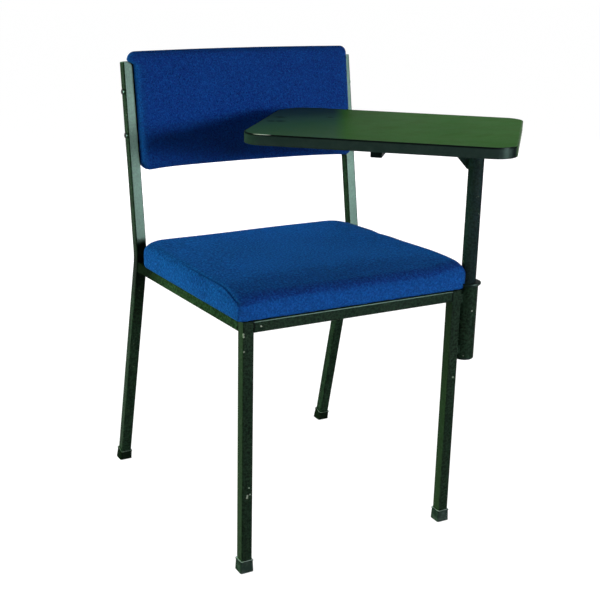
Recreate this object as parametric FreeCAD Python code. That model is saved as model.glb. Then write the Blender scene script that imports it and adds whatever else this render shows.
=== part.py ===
import FreeCAD, Part
import math
import os

from FreeCAD import Placement, Rotation, Vector

# Steel tube of the frame
tube_size = 19.0
tube_wall = 1.5
tube_corner = 2.0

# Frame layout, measured from the middle of the front legs at the floor
front_leg_spacing = 390.0
rear_foot_spacing = 449.4
rail_top_height = 432.0
knee_rise = 5.5
knee_bend_radius = 70.0
upright_length = 343.5
rear_leg_splay_angle = 13.87
back_lean_angle = 9.15
inward_tilt_angle = 0.44
side_rail_inset = 1.0
rail_end_trim = 0.6
rail_weld_leg = 9.0
rail_weld_setin = 2.5

# Fits and cuts
snug_gap = 0.05
running_gap = 0.06
rest_gap = 0.3
overrun = 5.0

# Rubber feet
foot_height = 21.0
foot_floor = 4.0
foot_top_wall = 1.7
foot_flare = 0.9
foot_corner = 3.2
foot_rim_height = 2.2
foot_rim_proud = 0.5

# Plastic plugs in the tube ends
plug_head = 2.2
plug_round = 1.0
plug_stub = 12.0

# Seat board, cushion and screws
seat_front_width = 424.0
seat_rear_width = 468.0
seat_front_overhang = 1.0
seat_depth = 368.0
seat_knee_gap = 21.0
seat_front_corner = 8.0
seat_rear_corner = 42.0
seat_pad_thickness = 45.0
seat_pad_crown = 3.5
seat_pad_soft_edge = 14.0
seat_pad_soft_rise = 20.0
seat_pad_worn_draw = 38.0
seat_pad_hem_inset = 1.4
seat_pad_hem_rise = 3.5
seat_pad_crown_inset = 115.0
seat_pad_corner_softening_share = 0.35
seat_pad_crown_middle_share = 0.7
pleat_width = 1.4
pleat_depth = 2.2
seat_board_thickness = 12.0
seat_board_inset = 13.0
seat_screw_front_reach = 62.0
seat_screw_rear_reach = 300.0

# Screws that hold the seat and the tablet
screw_shank = 4.5
screw_head_width = 9.5
screw_head_height = 2.6
screw_hold = 9.0

# Back panel and cushion, measured along the uprights from the knee
back_pad_bottom = 159.0
back_pad_height = 203.0
back_pad_side_lap = 7.0
back_pad_front = 29.5
back_pad_rear = 11.0
back_pad_sag = 10.0
back_pad_front_round = 12.0
back_pad_rear_round = 4.5
back_pad_edge_run = 20.0
back_pad_edge_depth = 17.5
back_pad_edge_drop = 7.0
back_pad_rear_draw = 3.0
back_panel_thickness = 12.0
back_panel_side_inset = 5.0
back_panel_edge_inset = 8.0

# Bolts through the uprights and their inserts in the panel edges
bolt_lower_place = 218.5
bolt_upper_place = 294.0
bolt_shank = 6.0
bolt_head_width = 10.5
bolt_head_height = 3.2
bolt_socket_width = 4.0
bolt_socket_depth = 2.0
bolt_hole_gap = 0.3
bolt_round_share = 0.6
insert_width = 9.0
insert_length = 13.0
bolt_bite = 10.0

# Socket beside the front leg
socket_width = 34.8
socket_wall = 1.6
socket_leg_gap = 1.7
socket_setback = 0.5
socket_length = 128.0
socket_rise = 5.0
socket_weld_reach = 9.0
socket_weld_depth = 6.0
socket_weld_length = 15.0
socket_weld_end_gap = 8.0
collar_width = 43.2
collar_height = 5.4
collar_round = 1.4
collar_chamfer = 2.4
bush_length = 40.0
cap_head = 4.0
cap_round = 3.0
cap_sleeve = 20.0
cap_floor = 6.0

# Post and support under the writing tablet
post_width = 25.4
post_wall = 1.6
post_plug_head = 3.0
post_plug_stub = 14.0
tablet_turn_angle = -40.7
tablet_top_height = 699.4
tablet_thickness = 17.6
arm_overhang = 14.0
bar_reach = 151.3
bar_length = 206.0
gusset_length = 26.0
gusset_height = 28.7
gusset_thickness = 3.0
gusset_blunt = 2.0
tablet_screw_arm_near = 52.0
tablet_screw_arm_far = 112.0
tablet_screw_bar_reach = 82.0

# Writing tablet outline, measured from the post
tablet_left = 359.0
tablet_right = 68.0
tablet_front = 163.0
tablet_rear = 153.0
tablet_front_left_corner = 34.0
tablet_front_right_corner = 38.0
tablet_rear_right_corner = 30.0
tablet_rear_left_corner = 62.0
tablet_band = 2.4
tablet_band_round = 1.1
tablet_laminate_thickness = 0.8

# Sizes that follow from the ones above
half_tube = tube_size / 2
bore_size = tube_size - 2 * tube_wall
bore_corner = tube_corner - tube_wall
rail_axis_height = rail_top_height - half_tube
knee_height = rail_top_height + knee_rise
seat_front_line = -half_tube - seat_front_overhang
knee_setback = seat_front_line + seat_depth + seat_knee_gap
splay = math.radians(rear_leg_splay_angle)
lean = math.radians(back_lean_angle)
tilt = math.radians(inward_tilt_angle)
knee = Vector(0, knee_setback, knee_height)
leg_down = Vector(0, math.sin(splay), -math.cos(splay))
upright_up = Vector(0, math.sin(lean), math.cos(lean))
upright_front = Vector(0, -math.cos(lean), math.sin(lean))
across = Vector(1, 0, 0)
upward = Vector(0, 0, 1)
socket_axis = Vector(
    (front_leg_spacing + tube_size + socket_width) / 2 + socket_leg_gap,
    socket_setback, 0)
socket_top_height = rail_top_height + socket_rise
socket_bore = socket_width - 2 * socket_wall
socket_bottom_height = socket_top_height - socket_length
post_foot_height = socket_bottom_height + cap_floor - cap_head + rest_gap
tablet_under_height = tablet_top_height - tablet_thickness
arm_bottom_height = tablet_under_height - tube_size
screw_length = tube_size + screw_hold


def rounded_outline(corners, radii, height):
    """Closed wire round the corner points, each corner with its own radius."""
    edges = []
    ends = []
    count = len(corners)
    for i in range(count):
        point = corners[i]
        before = (corners[i - 1] - point).normalize()
        after = (corners[(i + 1) % count] - point).normalize()
        half_angle = before.getAngle(after) / 2
        run = radii[i] / math.tan(half_angle)
        bisector = (before + after).normalize()
        middle = point + bisector * (radii[i] / math.sin(half_angle) - radii[i])
        ends.append((point + before * run, middle, point + after * run))
    lift = Vector(0, 0, height)
    for i in range(count):
        start, middle, end = ends[i]
        following = ends[(i + 1) % count][0]
        edges.append(Part.Arc(start + lift, middle + lift, end + lift).toShape())
        edges.append(Part.makeLine(end + lift, following + lift))
    return Part.Wire(edges)


def square_wire(width, corner, height=0):
    half = width / 2
    points = [Vector(-half, -half, 0), Vector(half, -half, 0),
              Vector(half, half, 0), Vector(-half, half, 0)]
    return rounded_outline(points, [corner] * 4, height)


def aimed(start, direction, side=across):
    """Placement that turns local Z along the direction and local X near the side."""
    return Placement(start, Rotation(side, Vector(), direction, "ZXY"))


def square_bar(width, corner, start, end, side=across):
    along = end - start
    bar = Part.Face(square_wire(width, corner)).extrude(Vector(0, 0, along.Length))
    bar.Placement = aimed(start, along, side)
    return bar


def square_tube(start, end, side=across):
    along = (end - start).normalize() * overrun
    outer = square_bar(tube_size, tube_corner, start, end, side)
    inner = square_bar(bore_size, bore_corner, start - along, end + along, side)
    return outer.cut(inner)


def rod(width, start, end):
    along = end - start
    return Part.makeCylinder(width / 2, along.Length, start, along)


def edges_at(shape, height):
    """Edges that lie flat at one height."""
    found = []
    for edge in shape.Edges:
        box = edge.BoundBox
        if abs(box.ZMax - height) < snug_gap and abs(box.ZMin - height) < snug_gap:
            found.append(edge)
    return found


def mirrored(shape):
    return shape.mirror(Vector(0, 0, 0), across)


# Rear legs, each bent at the knee into an upright
def bent_bar(width, corner, lower, upper):
    """Straight, arc and straight in the plane X = 0, from below the knee to above."""
    half_bend = (splay + lean) / 2
    tangent = knee_bend_radius * math.tan(half_bend)
    low_end = knee + leg_down * lower
    low_turn = knee + leg_down * tangent
    high_turn = knee + upright_up * tangent
    high_end = knee + upright_up * upper
    centre = low_turn + Vector(0, math.cos(splay), math.sin(splay)) * knee_bend_radius
    section = Part.Face(square_wire(width, corner))
    section.Placement = aimed(low_turn, leg_down)
    bend = section.revolve(centre, Vector(-1, 0, 0), 2 * math.degrees(half_bend))
    bar = square_bar(width, corner, low_end, low_turn)
    bar = bar.fuse([bend, square_bar(width, corner, high_turn, high_end)])
    return bar.removeSplitter()


def leg_stop():
    """Distance from the knee down to the end of the rear leg inside its foot."""
    end_height = foot_floor + half_tube * math.sin(splay)
    return (knee_height - end_height) / math.cos(splay)


def stand(shape):
    """Move a shape from the middle plane to the left rear leg, leaning inward."""
    moved = shape.copy()
    moved.rotate(Vector(0, 0, 0), Vector(0, 1, 0), -inward_tilt_angle)
    moved.translate(Vector(rear_foot_spacing / 2, 0, 0))
    return moved


def leg_middle(height):
    """Half the distance between the rear leg axes at a height."""
    return rear_foot_spacing / 2 - height * math.tan(tilt)


def bolt_points():
    places = []
    for place in (bolt_lower_place, bolt_upper_place):
        places.append(knee + upright_up * place)
    return places


def make_rear_leg():
    lower = leg_stop()
    leg = bent_bar(tube_size, tube_corner, lower, upright_length)
    leg = leg.cut(bent_bar(bore_size, bore_corner, lower + overrun,
                           upright_length + overrun))
    leg = stand(leg)
    for point in bolt_points():
        middle = Vector(leg_middle(point.z), point.y, point.z)
        reach = across * (tube_size + overrun)
        leg = leg.cut(rod(bolt_shank + 2 * bolt_hole_gap, middle - reach,
                          middle + reach))
    return leg


def rear_leg_envelope():
    return stand(bent_bar(tube_size, tube_corner, leg_stop(), upright_length))


# Front legs and rails
def make_front_leg():
    x = front_leg_spacing / 2
    return square_tube(Vector(x, 0, foot_floor), Vector(x, 0, rail_top_height))


def make_front_rail():
    half = (front_leg_spacing - tube_size) / 2
    return square_tube(Vector(-half, 0, rail_axis_height),
                       Vector(half, 0, rail_axis_height), upward)


def side_rail_ends():
    start = Vector(front_leg_spacing / 2, 0, rail_axis_height)
    end_x = leg_middle(rail_axis_height) - side_rail_inset
    return start, Vector(end_x, knee_setback, rail_axis_height)


def seat_screw_points():
    start, end = side_rail_ends()
    points = []
    for reach in (seat_screw_front_reach, seat_screw_rear_reach):
        points.append(start + (end - start) * (reach / knee_setback))
    return points


def leg_front_point():
    """Point on the front face of the rear leg at the height of the rail axis."""
    drop = (knee_height - rail_axis_height) / math.cos(splay)
    return knee + leg_down * drop - Vector(0, half_tube / math.cos(splay), 0)


def make_rail_weld():
    """Rounded weld fillet in the corner under the side rail at the rear leg."""
    corner = leg_front_point() + leg_down * (half_tube / math.cos(splay))
    forward = corner - Vector(0, rail_weld_leg, 0)
    below = corner + leg_down * rail_weld_leg
    half_angle = math.pi / 4 + splay / 2
    inward = (forward + below) / 2 - corner
    hollow = rail_weld_leg * (1 - math.sin(half_angle)) / math.cos(half_angle)
    middle = corner + inward.normalize() * hollow
    into_leg = Vector(0, tube_wall, 0)
    edges = [Part.Arc(forward, middle, below).toShape(),
             Part.makeLine(below, below + into_leg),
             Part.makeLine(below + into_leg, corner + into_leg),
             Part.makeLine(corner + into_leg, forward)]
    width = tube_size - 2 * rail_weld_setin
    weld = Part.Face(Part.Wire(edges)).extrude(across * width)
    shift = leg_middle(rail_axis_height) - side_rail_inset - width / 2
    weld.translate(Vector(shift, 0, 0))
    return weld


def make_side_rail():
    start, end = side_rail_ends()
    rail = square_tube(start, end, upward)
    room = seat_depth + knee_height
    front = Part.makeBox(room, half_tube + overrun, room,
                         Vector(0, -overrun, 0))
    rail = rail.cut(front)
    behind = Part.makeBox(room, room, room)
    behind.translate(Vector(0, rail_end_trim, -room / 2))
    behind.rotate(Vector(0, 0, 0), across, rear_leg_splay_angle)
    behind.translate(leg_front_point())
    rail = rail.cut(behind).fuse(make_rail_weld()).removeSplitter()
    rail = rail.cut(rear_leg_envelope())
    for point in seat_screw_points():
        rail = rail.cut(screw_hole(point))
    return rail


def make_rear_rail():
    """Cross rail between the rear legs, turned to lie square with them."""
    corner_reach = half_tube * (math.cos(splay) + math.sin(splay))
    height = rail_top_height - corner_reach - tube_wall
    drop = (knee_height - height) / math.cos(splay)
    middle = knee + leg_down * drop
    half = leg_middle(rail_top_height) - half_tube / math.cos(tilt)
    return square_tube(middle - across * half, middle + across * half, leg_down)


# Feet and plugs
def make_foot(direction, base):
    """Flared rubber cup, worked along a leg and cut flat at the floor."""
    top_width = tube_size + 2 * foot_top_wall
    base_width = top_width + 2 * foot_flare
    drop = base_width * math.tan(splay)
    body = Part.makeLoft([square_wire(base_width, foot_corner, -drop),
                          square_wire(top_width, foot_corner,
                                      foot_height - foot_rim_height)], True, True)
    rim_width = top_width + 2 * foot_rim_proud
    rim = Part.Face(square_wire(rim_width, foot_corner,
                                foot_height - foot_rim_height))
    rim = rim.extrude(Vector(0, 0, foot_rim_height))
    rim = rim.makeChamfer(foot_rim_proud, edges_at(rim, foot_height))
    body = body.fuse(rim)
    body.Placement = aimed(base, direction)
    return body


def below_floor():
    side = rear_foot_spacing
    return Part.makeBox(2 * side, 2 * side, side, Vector(-side, -side / 2, -side))


def make_front_foot():
    x = front_leg_spacing / 2
    foot = make_foot(upward, Vector(x, 0, 0)).cut(below_floor())
    hole = square_bar(tube_size + 2 * snug_gap, tube_corner,
                      Vector(x, 0, foot_floor), Vector(x, 0, foot_height + overrun))
    return foot.cut(hole)


def make_rear_foot():
    floor_point = knee + leg_down * (knee_height / math.cos(splay))
    foot = make_foot(-leg_down, floor_point)
    leg_end = knee + leg_down * leg_stop()
    hole = square_bar(tube_size + 2 * snug_gap, tube_corner, leg_end,
                      leg_end - leg_down * (foot_height + overrun))
    return stand(foot.cut(hole)).cut(below_floor())


def make_plug():
    """Square plug with a rounded head, head upward from the plane Z = 0."""
    head = Part.Face(square_wire(tube_size, tube_corner)).extrude(
        Vector(0, 0, plug_head))
    head = head.makeFillet(plug_round, edges_at(head, plug_head))
    stub = Part.Face(square_wire(bore_size - 2 * snug_gap, bore_corner)).extrude(
        Vector(0, 0, -plug_stub))
    return head.fuse(stub)


def make_upright_caps():
    cap = make_plug()
    cap.Placement = aimed(knee + upright_up * upright_length, upright_up)
    cap = stand(cap)
    return Part.makeCompound([cap, mirrored(cap)])


# Screws
def make_screw(point):
    """Pan head screw driven upward, its head under the tube that it goes through."""
    foot = Vector(point.x, point.y, point.z - half_tube - snug_gap)
    head = rod(screw_head_width, foot - upward * screw_head_height, foot)
    head = head.makeFillet(screw_head_height / 2,
                           edges_at(head, foot.z - screw_head_height))
    return head.fuse(rod(screw_shank, foot, foot + upward * screw_length))


def screw_hole(point):
    reach = upward * (screw_length + half_tube + overrun)
    return rod(screw_shank + 2 * snug_gap, point - reach, point + reach)


def screw_pilot(point):
    start = Vector(point.x, point.y, point.z - half_tube)
    return rod(screw_shank + 2 * snug_gap, start, start + upward * screw_length)


def both_sides(points):
    return points + [Vector(-p.x, p.y, p.z) for p in points]


# Seat
def seat_outline(inset, height, corner_scale_share=1, worn_draw=0):
    """Seat trapezoid, drawn in all round, and more at its worn rear corner."""
    front = seat_front_line + inset
    rear = seat_front_line + seat_depth - inset
    slope = (seat_rear_width - seat_front_width) / 2 / seat_depth
    front_x = seat_front_width / 2 + slope * inset - inset
    rear_x = seat_rear_width / 2 - slope * inset - inset
    corners = [Vector(-front_x, front, 0), Vector(front_x, front, 0),
               Vector(rear_x - worn_draw, rear, 0), Vector(-rear_x, rear, 0)]
    soft = inset * seat_pad_corner_softening_share * corner_scale_share
    radii = [seat_front_corner + soft] * 2 + [seat_rear_corner + soft] * 2
    return rounded_outline(corners, radii, height)


def make_seat_board():
    board = Part.Face(seat_outline(seat_board_inset, rail_top_height, 0))
    board = board.extrude(Vector(0, 0, seat_board_thickness))
    for point in both_sides(seat_screw_points()):
        board = board.cut(screw_pilot(point))
    return board


def make_pleat(side):
    """Narrow fold down a front corner of the cushion."""
    x = side * seat_front_width / 2
    bottom = rail_top_height
    fold = Part.makeBox(pleat_width, 2 * pleat_depth, seat_pad_thickness)
    fold.translate(Vector(-pleat_width / 2, -pleat_depth, bottom))
    fold.rotate(Vector(0, 0, 0), upward, side * 45)
    inward = seat_front_corner * (1 - math.sqrt(0.5))
    fold.translate(Vector(x - side * inward, seat_front_line + inward, 0))
    return fold


def post_relief():
    """Room in the cushion's corner for the collar and the post beside it."""
    start = at_socket(rail_top_height)
    collar_end = at_socket(socket_top_height + collar_height + 2 * rest_gap)
    post_end = at_socket(rail_top_height + 2 * seat_pad_thickness)
    around_collar = rod(collar_width + 2 * rest_gap, start, collar_end)
    return around_collar.fuse(rod(post_width + 2 * rest_gap, start, post_end))


def pad_profile():
    """Inset, rise and worn draw of each level of the pad, from hem to top."""
    levels = [(seat_pad_hem_inset, 0, 0), (0, seat_pad_hem_rise, 0)]
    flank = seat_pad_thickness - seat_pad_soft_rise
    levels.append((0, (flank + seat_pad_hem_rise) / 2, 0))
    for share in (0, 0.2, 0.4, 0.6, 0.8, 1):
        turn = share * math.pi / 2
        levels.append((seat_pad_soft_edge * (1 - math.cos(turn)),
                       flank + seat_pad_soft_rise * math.sin(turn),
                       seat_pad_worn_draw * math.sin(turn)))
    return levels


def make_seat_cushion():
    """Crowned seat pad: straight sides, soft upper edges and a pocket for the board."""
    bottom = rail_top_height + rest_gap
    top = bottom + seat_pad_thickness
    sides = []
    for inset, rise, draw in pad_profile():
        sides.append(seat_outline(inset, bottom + rise, 1, draw))
    pad = Part.makeLoft(sides, True, False)
    middle_inset = (seat_pad_soft_edge + seat_pad_crown_inset) / 2
    middle_height = top + seat_pad_crown * seat_pad_crown_middle_share
    draw = seat_pad_worn_draw
    crown = [seat_outline(seat_pad_soft_edge, top, 1, draw),
             seat_outline(middle_inset, middle_height, 1, draw / 2),
             seat_outline(seat_pad_crown_inset, top + seat_pad_crown)]
    pad = pad.fuse(Part.makeLoft(crown, True, True)).removeSplitter()
    pocket = Part.Face(seat_outline(seat_board_inset - rest_gap,
                                    rail_top_height, 0))
    pad = pad.cut(pocket.extrude(Vector(0, 0, seat_board_thickness + rest_gap)))
    return pad.cut([make_pleat(1), make_pleat(-1), post_relief()])


# Back
def back_point(x, along, out):
    """Point by place across, along the uprights and out from their middle."""
    return knee + across * x + upright_up * along + upright_front * out


def back_half_width():
    """Half the clear width between the tops of the uprights."""
    top = knee_height + upright_length * math.cos(lean)
    return leg_middle(top) - half_tube / math.cos(tilt) - rest_gap


def back_sag(x):
    """How far the curved back lies behind its ends at a place across."""
    share = x / back_half_width()
    return back_pad_sag * (1 - share * share)


def make_back_section(x, round_share):
    """Outline of the back pad at a place across, drawn in towards its ends."""
    low = back_pad_bottom + back_pad_edge_drop * round_share
    high = back_pad_bottom + back_pad_height - back_pad_edge_drop * round_share
    front = back_pad_front - back_sag(x) - back_pad_edge_depth * round_share
    rear = -back_pad_rear - back_sag(x) + back_pad_rear_draw * round_share
    corners = [Vector(low, rear, 0), Vector(high, rear, 0),
               Vector(high, front, 0), Vector(low, front, 0)]
    radii = [back_pad_rear_round] * 2 + [back_pad_front_round] * 2
    wire = rounded_outline(corners, radii, 0)
    wire.Placement = Placement(back_point(x, 0, 0),
                               Rotation(upright_up, upright_front, Vector(), "XYZ"))
    return wire


def upright_room():
    """Space that one upright takes out of the pad, open to the rear."""
    height = upright_length + plug_head + rest_gap
    front = half_tube + rest_gap
    room = Part.makeBox(seat_depth, seat_depth, height,
                        Vector(-back_half_width() - seat_depth, front - seat_depth, 0))
    room.Placement = Placement(back_point(0, 0, 0),
                               Rotation(Vector(-1, 0, 0), Vector(), upright_up, "ZXY"))
    return room


def make_back_core(gap):
    """Bent plywood panel, or with a gap the pocket round it."""
    half = back_half_width() - back_panel_side_inset + gap
    thick = back_panel_thickness / 2 + gap
    rear_ends = [Vector(-half, -thick, 0), Vector(half, -thick, 0)]
    front_ends = [Vector(-half, thick, 0), Vector(half, thick, 0)]
    sag = back_sag(0) - back_sag(half)
    end_shift = Vector(0, -back_sag(half), 0)
    edges = [
        Part.Arc(rear_ends[0] + end_shift, Vector(0, -thick - sag, 0) + end_shift,
                 rear_ends[1] + end_shift).toShape(),
        Part.makeLine(rear_ends[1] + end_shift, front_ends[1] + end_shift),
        Part.Arc(front_ends[1] + end_shift, Vector(0, thick - sag, 0) + end_shift,
                 front_ends[0] + end_shift).toShape(),
        Part.makeLine(front_ends[0] + end_shift, rear_ends[0] + end_shift)]
    low = back_pad_bottom + back_panel_edge_inset - gap
    height = back_pad_height - 2 * back_panel_edge_inset + 2 * gap
    core = Part.Face(Part.Wire(edges)).extrude(Vector(0, 0, height))
    core.Placement = Placement(back_point(0, low, 0),
                               Rotation(Vector(-1, 0, 0), Vector(), upright_up, "ZXY"))
    return core


def panel_edge():
    return back_half_width() - back_panel_side_inset


def make_bolt(point):
    """Button head bolt from the outer face of an upright into the panel edge."""
    outer = leg_middle(point.z) + half_tube / math.cos(tilt) + snug_gap
    seat = Vector(outer, point.y, point.z)
    tip = Vector(panel_edge() - bolt_bite, point.y, point.z)
    head = Part.makeCylinder(bolt_head_width / 2, bolt_head_height, seat, across)
    rim = [e for e in head.Edges if abs(e.BoundBox.XMin - outer - bolt_head_height)
           < snug_gap]
    head = head.makeFillet(bolt_head_height * bolt_round_share, rim)
    recess = Part.makeCylinder(bolt_socket_width / 2, bolt_socket_depth + overrun,
                               seat + across * (bolt_head_height - bolt_socket_depth),
                               across)
    return head.fuse(rod(bolt_shank, tip, seat)).cut(recess)


def make_back_bolts():
    bolts = [make_bolt(point) for point in bolt_points()]
    return Part.makeCompound(bolts + [mirrored(bolt) for bolt in bolts])


def insert_body(point, width, gap):
    start = Vector(panel_edge() - insert_length - gap, point.y, point.z)
    return rod(width, start, start + across * (insert_length + 2 * gap))


def make_back_inserts():
    inserts = []
    for point in bolt_points():
        hole = insert_body(point, bolt_shank + 2 * snug_gap, overrun)
        inserts.append(insert_body(point, insert_width, 0).cut(hole))
    return Part.makeCompound(inserts + [mirrored(item) for item in inserts])


def make_back_panel():
    panel = make_back_core(0)
    for point in bolt_points():
        hole = insert_body(point, insert_width + 2 * snug_gap, snug_gap)
        panel = panel.cut([hole, mirrored(hole)])
    return panel


def make_back_cushion():
    """Pad between the uprights, lapping over their front faces, hollow in its middle."""
    half = back_half_width() + back_pad_side_lap
    rounding = []
    for share in (0, 0.2, 0.4, 0.6, 0.8, 1):
        turn = share * math.pi / 2
        run = back_pad_edge_run * (1 - math.cos(turn))
        rounding.append((half - run, 1 - math.sin(turn)))
    middle = rounding[-1][0]
    centre = []
    for share in (-1, -0.5, 0, 0.5, 1):
        centre.append(make_back_section(middle * share, 0))
    end = Part.makeLoft([make_back_section(x, share) for x, share in rounding],
                        True, True)
    pad = Part.makeLoft(centre, True, False).fuse([end, mirrored(end)])
    room = upright_room()
    pad = pad.cut([make_back_core(rest_gap), room, mirrored(room)])
    for point in bolt_points():
        start = Vector(panel_edge() - snug_gap, point.y, point.z)
        hole = rod(bolt_shank + 2 * bolt_hole_gap, start,
                   start + across * (back_panel_side_inset + overrun))
        pad = pad.cut([hole, mirrored(hole)])
    return pad


# Socket beside the left front leg
def at_socket(height):
    return Vector(socket_axis.x, socket_axis.y, height)


def socket_envelope():
    return rod(socket_width, at_socket(socket_bottom_height),
               at_socket(socket_top_height))


def socket_bead(height):
    """Weld bead across the valleys between the socket and the leg."""
    face = (front_leg_spacing + tube_size) / 2
    bead = Part.makeBox(socket_weld_depth + tube_corner, 2 * socket_weld_reach,
                        socket_weld_length)
    bead.translate(Vector(face - tube_corner,
                          socket_axis.y - socket_weld_reach, height))
    x = front_leg_spacing / 2
    leg = square_bar(tube_size, tube_corner, Vector(x, 0, 0),
                     Vector(x, 0, rail_top_height + overrun))
    return bead.cut(leg).cut(socket_envelope())


def make_socket_tube():
    start = at_socket(socket_bottom_height)
    end = at_socket(socket_top_height)
    tube = socket_envelope()
    low = socket_bottom_height + socket_weld_end_gap
    high = rail_top_height - socket_weld_end_gap - socket_weld_length
    for height in (low, high):
        tube = tube.fuse(socket_bead(height))
    bore = rod(socket_bore, start - upward * overrun, end + upward * overrun)
    return tube.removeSplitter().cut(bore)


def make_socket_end_cap():
    """Round cap with a cup that guides the foot of the post."""
    base = socket_bottom_height - cap_head
    head = rod(socket_width, at_socket(base), at_socket(socket_bottom_height))
    head = head.makeFillet(cap_round, edges_at(head, base))
    sleeve = rod(socket_bore - 2 * snug_gap, at_socket(socket_bottom_height),
                 at_socket(socket_bottom_height + cap_sleeve))
    cup = rod(post_width + 2 * running_gap, at_socket(base + cap_floor),
              at_socket(socket_bottom_height + cap_sleeve + overrun))
    return head.fuse(sleeve).cut(cup)


def make_socket_bush():
    """Flanged sleeve that carries the turning post at the top of the socket."""
    base = socket_top_height + rest_gap
    collar = rod(collar_width, at_socket(base), at_socket(base + collar_height))
    collar = collar.makeFillet(collar_round, edges_at(collar, base + collar_height))
    collar = collar.makeChamfer(collar_chamfer, edges_at(collar, base))
    sleeve = rod(socket_bore - 2 * running_gap, at_socket(base - bush_length),
                 at_socket(base))
    bore = rod(post_width + 2 * running_gap, at_socket(base - bush_length - overrun),
               at_socket(base + collar_height + overrun))
    return collar.fuse(sleeve).cut(bore)


# Post and tablet, drawn square to the chair and then turned about the post
def turned(shape):
    moved = shape.copy()
    moved.rotate(socket_axis, upward, tablet_turn_angle)
    return moved


def from_post(along, forward, height):
    """Point by reach along the tablet, reach to its rear and height."""
    return Vector(socket_axis.x + along, socket_axis.y + forward, height)


def make_tablet_post():
    start = at_socket(post_foot_height + post_plug_head)
    end = at_socket(arm_bottom_height)
    post = rod(post_width, start, end)
    return post.cut(rod(post_width - 2 * post_wall, start - upward * overrun,
                        end + upward * overrun))


def make_post_plug():
    base = at_socket(post_foot_height)
    head_top = base + upward * post_plug_head
    head = rod(post_width - snug_gap, base, head_top)
    head = head.makeFillet(plug_round, edges_at(head, base.z))
    stub_width = post_width - 2 * post_wall - 2 * snug_gap
    return head.fuse(rod(stub_width, head_top, head_top + upward * post_plug_stub))


def make_post_gusset():
    """Triangular plate between the post and the arm."""
    top = arm_bottom_height
    inner = -post_width / 4
    outer = -post_width / 2 - gusset_length
    low = top - gusset_height
    points = [from_post(inner, 0, top), from_post(outer, 0, top),
              from_post(outer, 0, top - gusset_blunt),
              from_post(-post_width / 2 - gusset_blunt, 0, low),
              from_post(inner, 0, low), from_post(inner, 0, top)]
    plate = Part.Face(Part.makePolygon(points))
    plate.translate(Vector(0, -gusset_thickness / 2, 0))
    plate = plate.extrude(Vector(0, gusset_thickness, 0))
    plate = plate.cut(rod(post_width, at_socket(low - overrun),
                          at_socket(top + overrun)))
    return turned(plate)


def arm_axis_height():
    return arm_bottom_height + half_tube


def tablet_screw_points():
    height = arm_axis_height()
    return [from_post(-tablet_screw_arm_near, 0, height),
            from_post(-tablet_screw_arm_far, 0, height),
            from_post(-bar_reach, -tablet_screw_bar_reach, height),
            from_post(-bar_reach, tablet_screw_bar_reach, height)]


def make_support_arm():
    height = arm_axis_height()
    arm = square_tube(from_post(arm_overhang, 0, height),
                      from_post(-bar_reach + half_tube, 0, height), upward)
    for point in tablet_screw_points()[:2]:
        arm = arm.cut(screw_hole(point))
    return turned(arm)


def make_cross_bar():
    height = arm_axis_height()
    bar = square_tube(from_post(-bar_reach, -bar_length / 2, height),
                      from_post(-bar_reach, bar_length / 2, height), upward)
    for point in tablet_screw_points()[2:]:
        bar = bar.cut(screw_hole(point))
    return turned(bar)


def make_support_plugs():
    height = arm_axis_height()
    ends = [(from_post(arm_overhang, 0, height), across),
            (from_post(-bar_reach, -bar_length / 2, height), Vector(0, -1, 0)),
            (from_post(-bar_reach, bar_length / 2, height), Vector(0, 1, 0))]
    plugs = []
    for point, direction in ends:
        plug = make_plug()
        plug.Placement = aimed(point, direction, upward)
        plugs.append(turned(plug))
    return Part.makeCompound(plugs)


def tablet_outline(inset, height):
    left = -tablet_left + inset
    right = tablet_right - inset
    front = -tablet_front + inset
    rear = tablet_rear - inset
    corners = [from_post(left, front, 0), from_post(right, front, 0),
               from_post(right, rear, 0), from_post(left, rear, 0)]
    radii = [tablet_front_left_corner - inset, tablet_front_right_corner - inset,
             tablet_rear_right_corner - inset, tablet_rear_left_corner - inset]
    return rounded_outline(corners, radii, height)


def tablet_sheet(inset, bottom, top):
    return Part.Face(tablet_outline(inset, bottom)).extrude(
        Vector(0, 0, top - bottom))


def make_tablet_board():
    board = tablet_sheet(tablet_band, tablet_under_height,
                         tablet_top_height - tablet_laminate_thickness)
    for point in tablet_screw_points():
        board = board.cut(screw_pilot(point))
    return turned(board)


def make_tablet_laminate():
    return turned(tablet_sheet(tablet_band,
                               tablet_top_height - tablet_laminate_thickness,
                               tablet_top_height))


def make_tablet_edge_band():
    """Moulded band round the board, rounded at its upper and lower edges."""
    band = tablet_sheet(0, tablet_under_height, tablet_top_height)
    rims = edges_at(band, tablet_under_height) + edges_at(band, tablet_top_height)
    band = band.makeFillet(tablet_band_round, rims)
    inner = tablet_sheet(tablet_band, tablet_under_height - overrun,
                         tablet_top_height + overrun)
    return turned(band.cut(inner))


def make_tablet_screws():
    screws = [turned(make_screw(point)) for point in tablet_screw_points()]
    return Part.makeCompound(screws)


def make_seat_screws():
    points = both_sides(seat_screw_points())
    return Part.makeCompound([make_screw(point) for point in points])


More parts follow.
